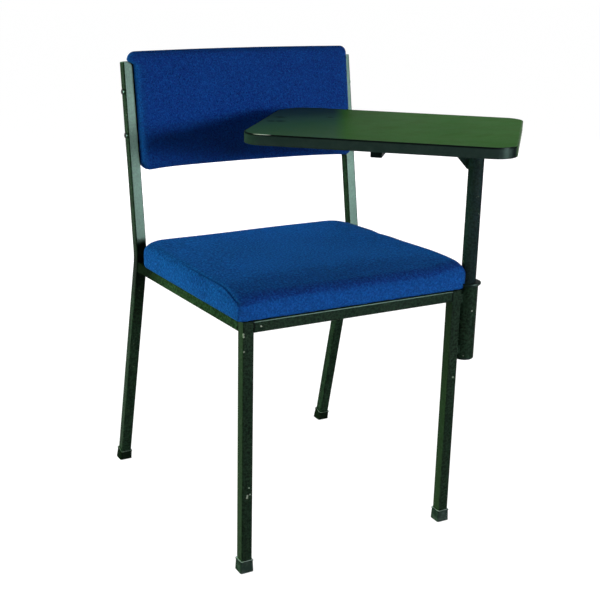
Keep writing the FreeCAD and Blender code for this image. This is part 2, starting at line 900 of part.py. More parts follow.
# All nodes of the chair
def build_nodes():
    front_leg = make_front_leg()
    rear_leg = make_rear_leg()
    side_rail = make_side_rail()
    front_foot = make_front_foot()
    rear_foot = make_rear_foot()
    return {
        "front_leg_left": front_leg,
        "front_leg_right": mirrored(front_leg),
        "rear_leg_left": rear_leg,
        "rear_leg_right": mirrored(rear_leg),
        "front_rail": make_front_rail(),
        "rear_rail": make_rear_rail(),
        "side_rail_left": side_rail,
        "side_rail_right": mirrored(side_rail),
        "upright_caps": make_upright_caps(),
        "foot_front_left": front_foot,
        "foot_front_right": mirrored(front_foot),
        "foot_rear_left": rear_foot,
        "foot_rear_right": mirrored(rear_foot),
        "seat_board": make_seat_board(),
        "seat_cushion": make_seat_cushion(),
        "seat_screws": make_seat_screws(),
        "back_panel": make_back_panel(),
        "back_cushion": make_back_cushion(),
        "back_bolts": make_back_bolts(),
        "back_inserts": make_back_inserts(),
        "socket_tube": make_socket_tube(),
        "socket_end_cap": make_socket_end_cap(),
        "socket_bush": make_socket_bush(),
        "tablet_post": make_tablet_post(),
        "post_plug": make_post_plug(),
        "post_gusset": make_post_gusset(),
        "support_arm": make_support_arm(),
        "cross_bar": make_cross_bar(),
        "support_plugs": make_support_plugs(),
        "tablet_board": make_tablet_board(),
        "tablet_laminate": make_tablet_laminate(),
        "tablet_edge_band": make_tablet_edge_band(),
        "tablet_screws": make_tablet_screws(),
    }


def save_nodes(nodes):
    """Centre the chair over the origin and write one STEP file for each node."""
    whole = Part.makeCompound(list(nodes.values())).optimalBoundingBox(False, False)
    shift = Vector(-whole.Center.x, -whole.Center.y, 0)
    print("shift %.3f %.3f" % (shift.x, shift.y))
    os.makedirs("parts", exist_ok=True)
    for name, shape in nodes.items():
        placed = shape.copy()
        placed.translate(shift)
        placed.exportStep("parts/" + name + ".step")
        print("%s solids %d volume %.0f valid %s"
              % (name, len(placed.Solids), placed.Volume, placed.isValid()))


save_nodes(build_nodes())
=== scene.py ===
import math

import bmesh
import bpy
from mathutils import Matrix, Vector


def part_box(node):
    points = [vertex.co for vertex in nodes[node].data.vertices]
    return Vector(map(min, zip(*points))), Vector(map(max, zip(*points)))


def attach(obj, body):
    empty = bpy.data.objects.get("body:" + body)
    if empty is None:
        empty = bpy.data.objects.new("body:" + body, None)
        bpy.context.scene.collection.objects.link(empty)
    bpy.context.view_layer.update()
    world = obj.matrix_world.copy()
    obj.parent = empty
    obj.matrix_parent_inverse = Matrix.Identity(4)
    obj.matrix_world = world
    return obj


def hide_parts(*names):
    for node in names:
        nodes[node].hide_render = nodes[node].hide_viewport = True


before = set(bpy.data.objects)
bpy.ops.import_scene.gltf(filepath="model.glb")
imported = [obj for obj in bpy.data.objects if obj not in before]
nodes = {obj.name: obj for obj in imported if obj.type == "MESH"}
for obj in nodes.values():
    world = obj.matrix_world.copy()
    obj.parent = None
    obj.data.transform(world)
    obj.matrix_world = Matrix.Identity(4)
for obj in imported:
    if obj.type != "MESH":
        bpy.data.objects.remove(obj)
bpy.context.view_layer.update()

scene = bpy.context.scene
scene.view_settings.view_transform = "Standard"

# Lengths are millimetres from the floor between the front legs, as the chair is measured
MM = 0.001
rail_low, rail_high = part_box("front_rail")
leg_low, leg_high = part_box("front_leg_left")
ORIGIN = Vector(((rail_low.x + rail_high.x) / 2, (leg_low.y + leg_high.y) / 2, 0))


def metres(point):
    return Vector(point) * MM + ORIGIN


def box(name):
    """Lowest and highest corner of a node, in the chair's millimetres."""
    return [(corner - ORIGIN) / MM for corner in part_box(name)]


RAIL_TOP = box("front_rail")[1].z
LEG_FACE = box("front_leg_left")[0].y
LEAN = math.radians(9.15)
KNEE = Vector((0, 378.5, RAIL_TOP + 5.5))
UP_LEAN = Vector((0, math.sin(LEAN), math.cos(LEAN)))
FRONT_LEAN = Vector((0, -math.cos(LEAN), math.sin(LEAN)))
POST_AXIS = Vector((223.6, 0.5, 0))

# Camera at the photograph's viewpoint, angles in degrees
CAMERA_SPOT = (-912.4, -1469.2, 988.3)
CAMERA_AZIMUTH = -28.894
CAMERA_FALL = 17.712
CAMERA_ROLL = 1.275
CAMERA_LENS = 67.751
CAMERA_SENSOR = 36
CAMERA_NEAR = 0.05
CAMERA_FAR = 60


def make_camera():
    data = bpy.data.cameras.new("view")
    data.sensor_width = CAMERA_SENSOR
    data.lens = CAMERA_LENS
    data.clip_start = CAMERA_NEAR
    data.clip_end = CAMERA_FAR
    camera = bpy.data.objects.new("view", data)
    scene.collection.objects.link(camera)
    turn = Matrix.Rotation(math.radians(CAMERA_AZIMUTH), 4, "Z")
    tip = Matrix.Rotation(math.radians(90 - CAMERA_FALL), 4, "X")
    roll = Matrix.Rotation(math.radians(CAMERA_ROLL), 4, "Z")
    camera.matrix_world = Matrix.Translation(metres(CAMERA_SPOT)) @ turn @ tip @ roll
    scene.camera = camera


# Studio, in metres
LIGHT_TARGET = (0.0, 0.0, 0.5)
GLOSS_TARGET = (-0.1, 0.15, 1.0)
FILL_COLOUR = (0.93, 0.97, 1.0, 1)
FILL_STRENGTH = 0.13
WHITE = (1, 1, 1, 1)
FLOOR_GREY = (0.6, 0.6, 0.6, 1)
FLOOR_HALF = 14.0
FLOOR_DROP = 0.0004
FLOOR_GLOW = 1.16
FLOOR_GLOW_SHARE = 0.85


def area_light(name, spot, target, size, power, colour):
    """A soft lamp that the camera doesn't see."""
    data = bpy.data.lights.new(name, "AREA")
    data.shape = "RECTANGLE"
    data.size, data.size_y = size
    data.energy = power
    data.color = colour
    light = bpy.data.objects.new(name, data)
    scene.collection.objects.link(light)
    light.location = spot
    direction = Vector(target) - Vector(spot)
    light.rotation_mode = "QUATERNION"
    light.rotation_quaternion = direction.to_track_quat("-Z", "Y")
    light.visible_camera = False
    return light


def make_lights():
    """A key lamp, two walls for diffuse light alone, and a strip for gloss alone."""
    area_light("key", (0.86, -3.2, 1.25), LIGHT_TARGET, (0.7, 0.45), 93, (1.0, 0.95, 1.0))
    left = area_light("left_wall", (-2.4, 1.25, 0.85), LIGHT_TARGET, (1.2, 1.2), 132,
                      (0.72, 1.08, 0.66))
    rear = area_light("rear_wall", (1.0, 3.4, 1.2), LIGHT_TARGET, (3.0, 1.0), 400,
                      (0.96, 0.86, 1.0))
    gloss = area_light("gloss_strip", (1.29, -2.60, 1.0), GLOSS_TARGET, (0.9, 1.0), 5140,
                       (0.62, 1.0, 0.87))
    left.visible_glossy = False
    rear.visible_glossy = False
    gloss.visible_diffuse = False


def background_rays(tree):
    """One for the rays that see the white background: camera, gloss and glass."""
    path = tree.nodes.new("ShaderNodeLightPath")
    share = path.outputs["Is Camera Ray"]
    for ray in ("Is Glossy Ray", "Is Transmission Ray"):
        either = tree.nodes.new("ShaderNodeMath")
        either.operation = "MAXIMUM"
        tree.links.new(share, either.inputs[0])
        tree.links.new(path.outputs[ray], either.inputs[1])
        share = either.outputs[0]
    return share


def two_faced(tree, output, share, plain, seen):
    """Output that shows one shader to the object and another to the background's rays."""
    out = tree.nodes.new(output)
    mix = tree.nodes.new("ShaderNodeMixShader")
    tree.links.new(share, mix.inputs["Fac"])
    tree.links.new(plain.outputs[0], mix.inputs[1])
    tree.links.new(seen.outputs[0], mix.inputs[2])
    tree.links.new(mix.outputs[0], out.inputs["Surface"])


def glowing(tree, kind, colour, strength):
    node = tree.nodes.new(kind)
    node.inputs["Color"].default_value = colour
    node.inputs["Strength"].default_value = strength
    return node


def make_world():
    world = bpy.data.worlds.new("studio")
    scene.world = world
    world.use_nodes = True
    tree = world.node_tree
    tree.nodes.clear()
    fill = glowing(tree, "ShaderNodeBackground", FILL_COLOUR, FILL_STRENGTH)
    white = glowing(tree, "ShaderNodeBackground", WHITE, 1.0)
    two_faced(tree, "ShaderNodeOutputWorld", background_rays(tree), fill, white)


def floor_material():
    """White to the camera, yet dark enough to keep the object's shadow."""
    material = bpy.data.materials.new("floor_white")
    material.use_nodes = True
    tree = material.node_tree
    tree.nodes.clear()
    share = tree.nodes.new("ShaderNodeMath")
    share.operation = "MULTIPLY"
    share.inputs[1].default_value = FLOOR_GLOW_SHARE
    tree.links.new(background_rays(tree), share.inputs[0])
    diffuse = tree.nodes.new("ShaderNodeBsdfDiffuse")
    diffuse.inputs["Color"].default_value = FLOOR_GREY
    glow = glowing(tree, "ShaderNodeEmission", WHITE, FLOOR_GLOW)
    two_faced(tree, "ShaderNodeOutputMaterial", share.outputs[0], diffuse, glow)
    return material


def make_floor():
    mesh = bpy.data.meshes.new("floor")
    corners = [(x * FLOOR_HALF, y * FLOOR_HALF, 0)
               for x, y in ((-1, -1), (1, -1), (1, 1), (-1, 1))]
    mesh.from_pydata(corners, [], [(0, 1, 2, 3)])
    mesh.materials.append(floor_material())
    floor = bpy.data.objects.new("floor", mesh)
    scene.collection.objects.link(floor)
    floor.location.z = -FLOOR_DROP


# Materials
class Shader:
    """Adds and links the nodes of one material, and keeps its colour so far."""

    def __init__(self, name, base, roughness, **values):
        self.material = bpy.data.materials.new(name)
        self.material.use_nodes = True
        self.tree = self.material.node_tree
        self.bsdf = self.tree.nodes["Principled BSDF"]
        self.bsdf.inputs["Base Color"].default_value = (*base, 1)
        self.bsdf.inputs["Roughness"].default_value = roughness
        for key, value in values.items():
            self.bsdf.inputs[key.replace("_", " ")].default_value = value
        self.place = self.add("ShaderNodeTexCoord").outputs["Object"]
        self.spot = self.mapped(Location=-ORIGIN / MM, Scale=(1 / MM,) * 3)
        self.normal = self.add("ShaderNodeNewGeometry").outputs["Normal"]
        self.facing = self.split(self.normal)
        self.colour = base

    def add(self, kind, **settings):
        node = self.tree.nodes.new(kind)
        for key, value in settings.items():
            setattr(node, key, value)
        return node

    def link(self, source, target):
        self.tree.links.new(source, target)

    def mapped(self, **values):
        """The place in metres, moved or stretched."""
        node = self.add("ShaderNodeMapping")
        for key, value in values.items():
            node.inputs[key].default_value = value
        self.link(self.place, node.inputs["Vector"])
        return node.outputs["Vector"]

    def split(self, vector):
        node = self.add("ShaderNodeSeparateXYZ")
        self.link(vector, node.inputs[0])
        return node.outputs

    def measure(self, operation, vector, other):
        """Distance or dot product of a vector and a fixed one."""
        node = self.add("ShaderNodeVectorMath", operation=operation)
        self.link(vector, node.inputs[0])
        node.inputs[1].default_value = other
        return node.outputs["Value"]

    def noise(self, scale, detail=3.0, rough=0.5, stretch=None):
        """Cloudy values about 0.5; scale is how many clouds go into a metre."""
        node = self.add("ShaderNodeTexNoise")
        node.inputs["Scale"].default_value = scale
        node.inputs["Detail"].default_value = detail
        node.inputs["Roughness"].default_value = rough
        source = self.mapped(Scale=stretch) if stretch else self.place
        self.link(source, node.inputs["Vector"])
        return node.outputs["Fac"]

    def share(self, value, none, full, most=1.0):
        """Share that goes from nothing at the value none to most at the value full."""
        node = self.add("ShaderNodeMapRange")
        self.link(value, node.inputs["Value"])
        node.inputs["From Min"].default_value = none
        node.inputs["From Max"].default_value = full
        node.inputs["To Max"].default_value = most
        return node.outputs["Result"]

    def ramp(self, value, stops):
        """Colour or grey between stops of place and colour."""
        node = self.add("ShaderNodeValToRGB")
        band = node.color_ramp
        while len(band.elements) < len(stops):
            band.elements.new(0.5)
        for element, (place, colour) in zip(band.elements, stops):
            element.position = place
            if isinstance(colour, (int, float)):
                colour = (colour, colour, colour)
            element.color = (*colour, 1)
        self.link(value, node.inputs["Fac"])
        return node.outputs["Color"]

    def fill(self, socket, value):
        """A number, a colour or a link into a socket."""
        if isinstance(value, (int, float)):
            socket.default_value = value
        elif isinstance(value, tuple):
            socket.default_value = (*value, 1)
        else:
            self.link(value, socket)

    def math(self, kind, *values):
        node = self.add("ShaderNodeMath", operation=kind)
        for socket, value in zip(node.inputs, values):
            self.fill(socket, value)
        return node.outputs[0]

    def mix(self, share, a, b, blend="MIX"):
        node = self.add("ShaderNodeMix", data_type="RGBA", blend_type=blend)
        self.fill(node.inputs["Factor"], share)
        self.fill(node.inputs[6], a)
        self.fill(node.inputs[7], b)
        return node.outputs[2]

    def cover(self, share, colour, blend="MIX"):
        """Lays a share of a colour over the colour so far."""
        self.colour = self.mix(share, self.colour, colour, blend)

    def stain(self, point, size, edge, full, none):
        """Share of a small spot with a ragged edge, full and none in its own sizes."""
        away = self.measure("DISTANCE", self.spot, point)
        ragged = self.math("MULTIPLY_ADD", edge, size, away)
        return self.share(ragged, none * size, full * size, 0.9)

    def bump(self, height, strength, distance, below=None):
        node = self.add("ShaderNodeBump")
        node.inputs["Strength"].default_value = strength
        node.inputs["Distance"].default_value = distance
        self.link(height, node.inputs["Height"])
        if below is not None:
            self.link(below, node.inputs["Normal"])
        return node.outputs["Normal"]

    def finish(self, normal=None, rough=None):
        self.link(self.colour, self.bsdf.inputs["Base Color"])
        if normal is not None:
            self.link(normal, self.bsdf.inputs["Normal"])
        if rough is not None:
            self.link(rough, self.bsdf.inputs["Roughness"])
        return self.material


# Enamel. Bare spots: x, height and size on the front faces of the legs and rail
CHIPS = ((-204, 413, 2.2), (-203.5, 409.5, 2.0), (-173.5, 422.5, 1.6), (-195, 138.5, 2.0),
         (-195.5, 135.5, 2.2), (-190.5, 140, 1.6), (-192, 152, 1.5), (-202.5, 385, 1.5),
         (197.5, 275.5, 2.0))
SOCKET_CHIP_HEIGHT = 394.3
SOCKET_CHIP_SIZE = 1.8
BARE_COLOUR = (0.24, 0.28, 0.22)
RUBBED_COLOUR = (0.12, 0.15, 0.11)
GRIME = (0.010, 0.018, 0.009)
# Painted light on the faces that face left
PAINTED_LEFT_LIGHT_GREEN = (0.0160, 0.0300, 0.0140)
# The KNEE_SHADOW_ values paint a shadow round each knee
KNEE_SHADOW_COLOUR = (0.001, 0.002, 0.001)
JOINT_COLOUR = (0.001, 0.002, 0.0015)
KNEE_SHADOW_ACROSS = 237
KNEE_SHADOW_BACK = KNEE.y - 28
KNEE_SHADOW_HEIGHT = RAIL_TOP - 14
KNEE_SHADOW_NEAR = 25
KNEE_SHADOW_FAR = 85
JOINT_NEAR = 1.0
JOINT_FAR = 2.2


def joint_lines(s):
    """Thin dark lines where the front rail meets the two front legs."""
    x, y, z = s.split(s.spot)
    off = s.math("ABSOLUTE", s.math("SUBTRACT", s.math("ABSOLUTE", x),
                                    box("front_leg_left")[0].x))
    line = s.share(off, JOINT_FAR, JOINT_NEAR, 0.95)
    low, high = box("front_rail")
    above = s.math("GREATER_THAN", z, low.z)
    front = s.math("LESS_THAN", y, high.y)
    return s.math("MULTIPLY", s.math("MULTIPLY", line, above), front)


def lay_chips(s):
    """Bare metal showing in the few small places where the enamel was knocked off."""
    ragged = s.noise(520, 1, 0.5)
    socket_face = box("socket_tube")[0].y
    spots = [((x, LEG_FACE, z), size) for x, z, size in CHIPS]
    spots.append(((POST_AXIS.x - 1, socket_face, SOCKET_CHIP_HEIGHT), SOCKET_CHIP_SIZE))
    for point, size in spots:
        s.cover(s.stain(point, size, ragged, 1.0, 1.6), BARE_COLOUR)


def lay_knee_shadows_and_joints(s):
    """Painted shadow round both knees, where the seat cushion shades the frame, and dark lines
    at the front joints.
    """
    for side in (-1, 1):
        away = s.measure("DISTANCE", s.spot, (side * KNEE_SHADOW_ACROSS, KNEE_SHADOW_BACK, KNEE_SHADOW_HEIGHT))
        # Painted shadow: near-black round each knee
        s.cover(s.share(away, KNEE_SHADOW_FAR, KNEE_SHADOW_NEAR, 0.85), KNEE_SHADOW_COLOUR)
    s.cover(joint_lines(s), JOINT_COLOUR)


def paint_material(name, dark, light, specular=0.006, mottled=1.0, painted_left_light=0.0):
    """Near-black green enamel: orange peel, cloudy gloss and a few small chips.

    painted_left_light is how much painted light lightens the faces that face left."""
    s = Shader(name, light, 0.26, Specular_IOR_Level=specular)
    s.colour = s.ramp(s.noise(9, 4, 0.6), [(0.3, dark), (0.7, light)])
    s.cover(s.share(s.noise(85, 4, 0.7), 0.5, 0.75, 0.6), GRIME)
    s.cover(mottled, s.ramp(s.noise(240, 2, 0.7), [(0.39, 0.45), (0.61, 1.65)]), "MULTIPLY")
    # Painted light: faces that face left are made lighter green
    s.cover(s.share(s.facing[0], -0.6, -0.9, painted_left_light), PAINTED_LEFT_LIGHT_GREEN)
    speck = s.share(s.noise(170, 1, 0.4), 0.74, 0.78)
    rubbed_and_front_light = s.math("MULTIPLY", speck, s.share(s.noise(14, 3, 0.6), 0.5, 0.66))
    s.cover(s.math("MULTIPLY", rubbed_and_front_light, 0.5), RUBBED_COLOUR)
    lay_chips(s)
    lay_knee_shadows_and_joints(s)
    peel = s.bump(s.noise(420, 2, 0.6), 0.16, 0.0004)
    rough = s.ramp(s.noise(26, 4, 0.65), [(0.25, 0.23), (0.75, 0.31)])
    return s.finish(s.bump(rubbed_and_front_light, 0.4, 0.0002, peel), rough)


# Cloth, with its yarns in metres
YARN_PITCH = 0.0013
YARN_WANDER = 0.0012
SHEEN_TINT = (0.02, 0.5, 0.6, 1)
# Painted shade on the cloth's edges that face along FAR_EDGES
PAINTED_EDGE_SHADE_COLOUR = (0.001, 0.014, 0.030)
# Painted light: the colour the cloth's front faces turn towards
PAINTED_FRONT_LIGHT_CLOTH = (0.0025, 0.105, 0.30)
FAR_EDGES = (1.1, 1.76, 0)


def side_weights(s):
    """How much each axis counts, by the way the surface faces."""
    weights = [s.math("POWER", s.math("ABSOLUTE", axis), 4) for axis in s.facing]
    total = s.math("ADD", s.math("ADD", weights[0], weights[1]), weights[2])
    return [s.math("DIVIDE", weight, total) for weight in weights]


def woven(s):
    """Height of the crossing yarns on every side of the pad."""
    waves = []
    for i, axis in enumerate(s.split(s.place)):
        wander = s.math("MULTIPLY", s.noise(90 + 13 * i, 2, 0.5), YARN_WANDER)
        shifted = s.math("ADD", axis, wander)
        waves.append(s.math("SINE", s.math("MULTIPLY", shifted, 2 * math.pi / YARN_PITCH)))
    weave = 0.0
    for i, weight in enumerate(side_weights(s)):
        crossing = s.math("MULTIPLY", waves[i - 2], waves[i - 1])
        weave = s.math("MULTIPLY_ADD", crossing, weight, weave)
    return weave


def lay_flecks(s, fleck, colour, light):
    """Dyed wool: dark and light flecks with a little violet and teal among them."""
    red, green, blue = colour
    dark = (red * 0.4, green * 0.4, blue * 0.4)
    violet = (red * 1.4, green * 0.55, blue * 0.8)
    teal = (red * 0.9, green * 1.55, blue * 1.15)
    s.colour = s.ramp(fleck, [(0.36, dark), (0.5, colour), (0.64, light)])
    s.cover(s.share(s.noise(260, 2, 0.6), 0.42, 0.62, 0.5), violet)
    s.cover(s.share(s.noise(330, 2, 0.6), 0.5, 0.68, 0.55), teal)
    s.cover(s.share(s.noise(11, 3, 0.5), 0.35, 0.7, 0.2), light)


def cloth_material(name, colour, light, grain, turned, rubbed_and_front_light=0.0):
    """Woven wool cloth: crossing yarns on each side of the pad, flecks and a soft nap.

    turned gives where painted shade starts on the edges that face back and to the right, and
    rubbed_and_front_light how much painted light turns the front faces lighter teal."""
    s = Shader(name, colour, 0.95, Sheen_Weight=0.04, Sheen_Roughness=0.45,
               Sheen_Tint=SHEEN_TINT, Specular_IOR_Level=0.002)
    fleck = s.noise(grain, 2, 0.7)
    weave = woven(s)
    lay_flecks(s, fleck, colour, light)
    yarn = s.ramp(s.math("MULTIPLY_ADD", weave, 0.5, 0.5), [(0.2, 0.78), (0.8, 1.0)])
    s.cover(1.0, yarn, "MULTIPLY")
    away = s.measure("DOT_PRODUCT", s.normal, FAR_EDGES)
    # Painted shade on the edges that face back and to the right
    s.cover(s.share(away, turned, turned + 0.22, 0.75), PAINTED_EDGE_SHADE_COLOUR)
    # Painted light: the faces that face the front are made lighter teal
    s.cover(s.share(s.facing[1], -0.6, -0.92, rubbed_and_front_light), PAINTED_FRONT_LIGHT_CLOTH)
    high = s.math("ADD", s.math("MULTIPLY", weave, 0.5), s.math("MULTIPLY", fleck, 0.8))
    return s.finish(s.bump(high, 0.35, 0.0005))


# Tablet. The back pad's painted shadow and reflection on the laminate ends along a line of x
# per y
PAD_EDGE_RUN = 0.587
PAD_EDGE_START = 38.3
PAD_EDGE_SOFT = 12
PAD_SHADE_NEAR = 80
PAD_SHADE_FAR = 300
PAD_SHADES = [(0.0, (0.048, 0.110, 0.066)), (0.33, (0.035, 0.094, 0.068)),
              (0.6, (0.028, 0.066, 0.074)), (0.8, (0.016, 0.036, 0.062)),
              (1.0, (0.011, 0.027, 0.060))]
BLOTS = ((-52, 203, 9), (-38, 197, 10), (-18, 236, 11), (62, 205, 7))
BLOT_COLOUR = (0.008, 0.022, 0.030)
OLIVE = (0.030, 0.094, 0.012)
PALE_SPECK = (0.050, 0.160, 0.036)
SCRATCH_COLOUR = (0.09, 0.20, 0.08)
TABLET_TURN = math.radians(40.79)
TABLET_ALONG = (math.cos(TABLET_TURN), -math.sin(TABLET_TURN), 0)
TABLET_REACH = 236.1
RIM_NEAR = 2.27
RIM_FAR = 6.06
JOINT_DROP = 2.7
JOINT_SOFT = 0.6
# Painted highlight: a pale spot on the band's lip near its left corner
PAINTED_LIP_HIGHLIGHT = (-124.5, 91.0)
PAINTED_LIP_HIGHLIGHT_NEAR = 6
PAINTED_LIP_HIGHLIGHT_FAR = 16
PAINTED_LIP_HIGHLIGHT_COLOUR = (0.75, 0.80, 0.70)
BAND_JOINT_COLOUR = (0.001, 0.002, 0.002)
BAND_LIP_COLOUR = (0.004, 0.010, 0.006)
BAND_RIM_COLOUR = (0.034, 0.120, 0.023)
BAND_STREAK_COLOUR = (0.001, 0.003, 0.003)
BAND_TURN_COLOUR = (0.024, 0.068, 0.017)


def lay_pad_shade(s):
    """Painted shadow and reflection of the back pad on the laminate, darker toward the pad."""
    inside = s.measure("DOT_PRODUCT", s.spot, (-1, PAD_EDGE_RUN, 0))
    shaded = s.share(inside, PAD_EDGE_START - PAD_EDGE_SOFT, PAD_EDGE_START + PAD_EDGE_SOFT,
                     0.9)
    back = s.share(s.split(s.spot)[1], PAD_SHADE_NEAR, PAD_SHADE_FAR)
    # Painted shadow and reflection of the back pad
    s.cover(shaded, s.ramp(back, PAD_SHADES))


def lay_blots(s):
    """The few dark, ragged spots."""
    ragged = s.noise(90, 3, 0.6)
    height = box("tablet_laminate")[1].z
    most = 0.0
    for x, y, size in BLOTS:
        most = s.math("MAXIMUM", s.stain((x, y, height), size, ragged, 0.8, 1.7), most)
    s.cover(most, BLOT_COLOUR)


def laminate_material():
    """Dark green desk laminate: fine pebble, faint worn haze, hairline scratches, a few dark
    spots, and the back pad's painted shadow and reflection.
    """
    s = Shader("green_laminate", (0.035, 0.125, 0.024), 0.33, Specular_IOR_Level=0.001)
    s.colour = s.ramp(s.noise(7, 4, 0.6), [(0.3, (0.030, 0.115, 0.021)),
                                           (0.72, (0.040, 0.135, 0.027))])
    s.cover(s.share(s.noise(20, 4, 0.65, (1, 1.7, 1)), 0.46, 0.66, 0.6), OLIVE)
    s.cover(s.share(s.noise(900, 2, 0.6), 0.4, 0.75, 0.3), PALE_SPECK)
    scratch = s.share(s.noise(60, 2, 0.4, (0.25, 9, 1)), 0.66, 0.7)
    mark = s.math("MULTIPLY", scratch, s.share(s.noise(5, 2, 0.5), 0.5, 0.75, 0.5))
    s.cover(s.math("MULTIPLY", mark, 0.4), SCRATCH_COLOUR)
    lay_pad_shade(s)
    lay_blots(s)
    rough = s.ramp(s.noise(13, 5, 0.65), [(0.25, 0.31), (0.78, 0.42)])
    rough = s.mix(s.math("MULTIPLY", mark, 0.6), rough, (0.5, 0.5, 0.5))
    return s.finish(s.bump(s.noise(1400, 2, 0.5), 0.1, 0.0003), rough)


def plastic_shader(name, colour, roughness, worn=0.3, specular=0.4, lip=None):
    """Moulded plastic or rubber: fine texture, scuffed patches, and where lip is given, a
    painted highlight of that colour on the faces that point up.
    """
    s = Shader(name, colour, roughness, Specular_IOR_Level=specular)
    dusty = tuple(min(1.0, c * 2.2 + 0.03) for c in colour)
    s.cover(s.share(s.noise(70, 5, 0.7), 0.45, 0.75, worn), dusty)
    if lip:
        # Painted highlight on the faces that point up
        s.cover(s.share(s.facing[2], 0.7, 0.85), lip)
    rough = s.ramp(s.noise(45, 4, 0.6), [(0.3, roughness - 0.07), (0.7, roughness + 0.1)])
    s.finish(s.bump(s.noise(700, 2, 0.5), 0.15, 0.0003), rough)
    return s


def plastic_material(*values, **options):
    return plastic_shader(*values, **options).material


def lay_band_edges(s, top):
    """Black joint below the laminate, dark lip above, and what shows along the rims."""
    joint = s.share(s.split(s.spot)[2], top - JOINT_DROP, top - JOINT_DROP + JOINT_SOFT, 0.92)
    s.cover(joint, BAND_JOINT_COLOUR)
    s.cover(s.share(s.facing[2], 0.8, 0.95), BAND_LIP_COLOUR)
    along = s.measure("DOT_PRODUCT", s.spot, TABLET_ALONG)
    end = s.share(along, TABLET_REACH - RIM_FAR, TABLET_REACH - RIM_NEAR)
    rim = s.share(s.facing[2], 0.15, 0.5)
    s.cover(s.math("MULTIPLY", end, rim), BAND_RIM_COLOUR)
    return rim


def edge_material():
    """Plastic edge band: dark on its side, with a dark streak and then green round its far end
    by the way it faces, and a painted highlight on its lip near the left corner.
    """
    s = plastic_shader("dark_edge", (0.0114, 0.0205, 0.0186), 0.3, 0.1, 0.003)
    top = box("tablet_edge_band")[1].z
    rim = lay_band_edges(s, top)
    toward = s.measure("DOT_PRODUCT", s.normal, TABLET_ALONG)
    s.cover(s.ramp(toward, [(0.76, 0.0), (0.88, 0.9), (0.96, 0.0)]), BAND_STREAK_COLOUR)
    s.cover(s.share(toward, 0.93, 0.975), BAND_TURN_COLOUR)
    # Painted highlight on the lip near the left corner
    away = s.measure("DISTANCE", s.spot, (*PAINTED_LIP_HIGHLIGHT, top))
    near = s.share(away, PAINTED_LIP_HIGHLIGHT_FAR, PAINTED_LIP_HIGHLIGHT_NEAR, 0.8)
    s.cover(s.math("MULTIPLY", near, rim), PAINTED_LIP_HIGHLIGHT_COLOUR)
    return s.finish()


# Wood and steel
def wood_material(name, pale, dark):
    """Raw plywood or particle board with long grain."""
    s = Shader(name, pale, 0.7, Specular_IOR_Level=0.3)
    grain = s.noise(24, 6, 0.62, (1.2, 14, 14))
    s.colour = s.ramp(grain, [(0.3, dark), (0.55, pale), (0.8, tuple(c * 1.12 for c in pale))])
    return s.finish(s.bump(grain, 0.2, 0.0005))


def steel_material(name, colour, roughness):
    """Plated steel with faint turning marks and dulled patches."""
    s = Shader(name, colour, roughness, Metallic=1.0)
    s.colour = s.ramp(s.noise(160, 4, 0.6), [(0.3, tuple(c * 0.75 for c in colour)),
                                             (0.7, colour)])
    rough = s.ramp(s.noise(220, 4, 0.6), [(0.3, roughness - 0.05), (0.7, roughness + 0.12)])
    return s.finish(rough=rough)


def dress(material, *names):
    for name in names:
        mesh = nodes[name].data
        mesh.materials.clear()
        mesh.materials.append(material)


def dress_paint():
    """Four copies of one enamel, set apart as painted light: the front legs are lighter on
    their left faces, the rails have a lighter base, the post a bluer one, and the rails and
    the post catch less gloss.
    """
    dress(paint_material("frame_paint", (0.0045, 0.0118, 0.0064), (0.0076, 0.0170, 0.0094)),
          "rear_leg_left", "rear_leg_right", "front_rail", "rear_rail", "socket_tube")
    dress(paint_material("leg_paint", (0.0047, 0.0116, 0.0064), (0.0082, 0.0166, 0.0094),
                         painted_left_light=0.6), "front_leg_left", "front_leg_right")
    # Lighter base: painted light on the side rails
    dress(paint_material("rail_paint", (0.0075, 0.0175, 0.0082), (0.0125, 0.0260, 0.0125),
                         specular=0.001), "side_rail_left", "side_rail_right")
    # Bluer base: painted light on the post and its arm
    dress(paint_material("post_paint", (0.0056, 0.0115, 0.0116), (0.0094, 0.0168, 0.0176),
                         specular=0.001, mottled=0.5),
          "tablet_post", "post_gusset", "support_arm", "cross_bar")


def dress_plastic():
    dress(plastic_material("black_plastic", (0.004, 0.010, 0.008), 0.4, 0.12, 0.01),
          "socket_end_cap", "socket_bush", "post_plug")
    # The plugs are the black plastic made darker, as painted shade under the tablet
    dress(plastic_material("plug_plastic_painted_shade", (0.001, 0.003, 0.003), 0.45, 0.03, 0.01),
          "support_plugs")
    # The caps are the black plastic made lighter, as a painted highlight on their tops
    dress(plastic_material("cap_plastic_painted_highlight", (0.035, 0.055, 0.045), 0.5, 0.2, 0.02),
          "upright_caps")
    # The feet's lip colours are painted highlights on their top rims
    dress(plastic_material("foot_rubber", (0.0085, 0.017, 0.013), 0.6, 0.9, 0.004,
                           (0.30, 0.38, 0.34)), "foot_front_left", "foot_front_right")
    dress(plastic_material("foot_rubber_rear", (0.0032, 0.0065, 0.0034), 0.6, 0.05, 0.001,
                           (0.12, 0.16, 0.13)), "foot_rear_left", "foot_rear_right")


def dress_rest():
    """Wood, fasteners and the tablet's board, laminate and edge."""
    dress(wood_material("plywood", (0.50, 0.33, 0.17), (0.30, 0.17, 0.08)),
          "seat_board", "back_panel")
    dress(wood_material("tablet_core", (0.36, 0.25, 0.14), (0.25, 0.16, 0.08)),
          "tablet_board")
    dress(steel_material("dark_screws", (0.08, 0.09, 0.08), 0.4),
          "seat_screws", "tablet_screws")
    dress(steel_material("dark_bolts", (0.030, 0.038, 0.032), 0.45), "back_bolts")
    dress(steel_material("brass_inserts", (0.70, 0.52, 0.24), 0.3), "back_inserts")
    dress(laminate_material(), "tablet_laminate")
    dress(edge_material(), "tablet_edge_band")


# Padded forms
ARC_STEPS = 12
CORNER_CROWDING = 0.86
TINY = 1e-9


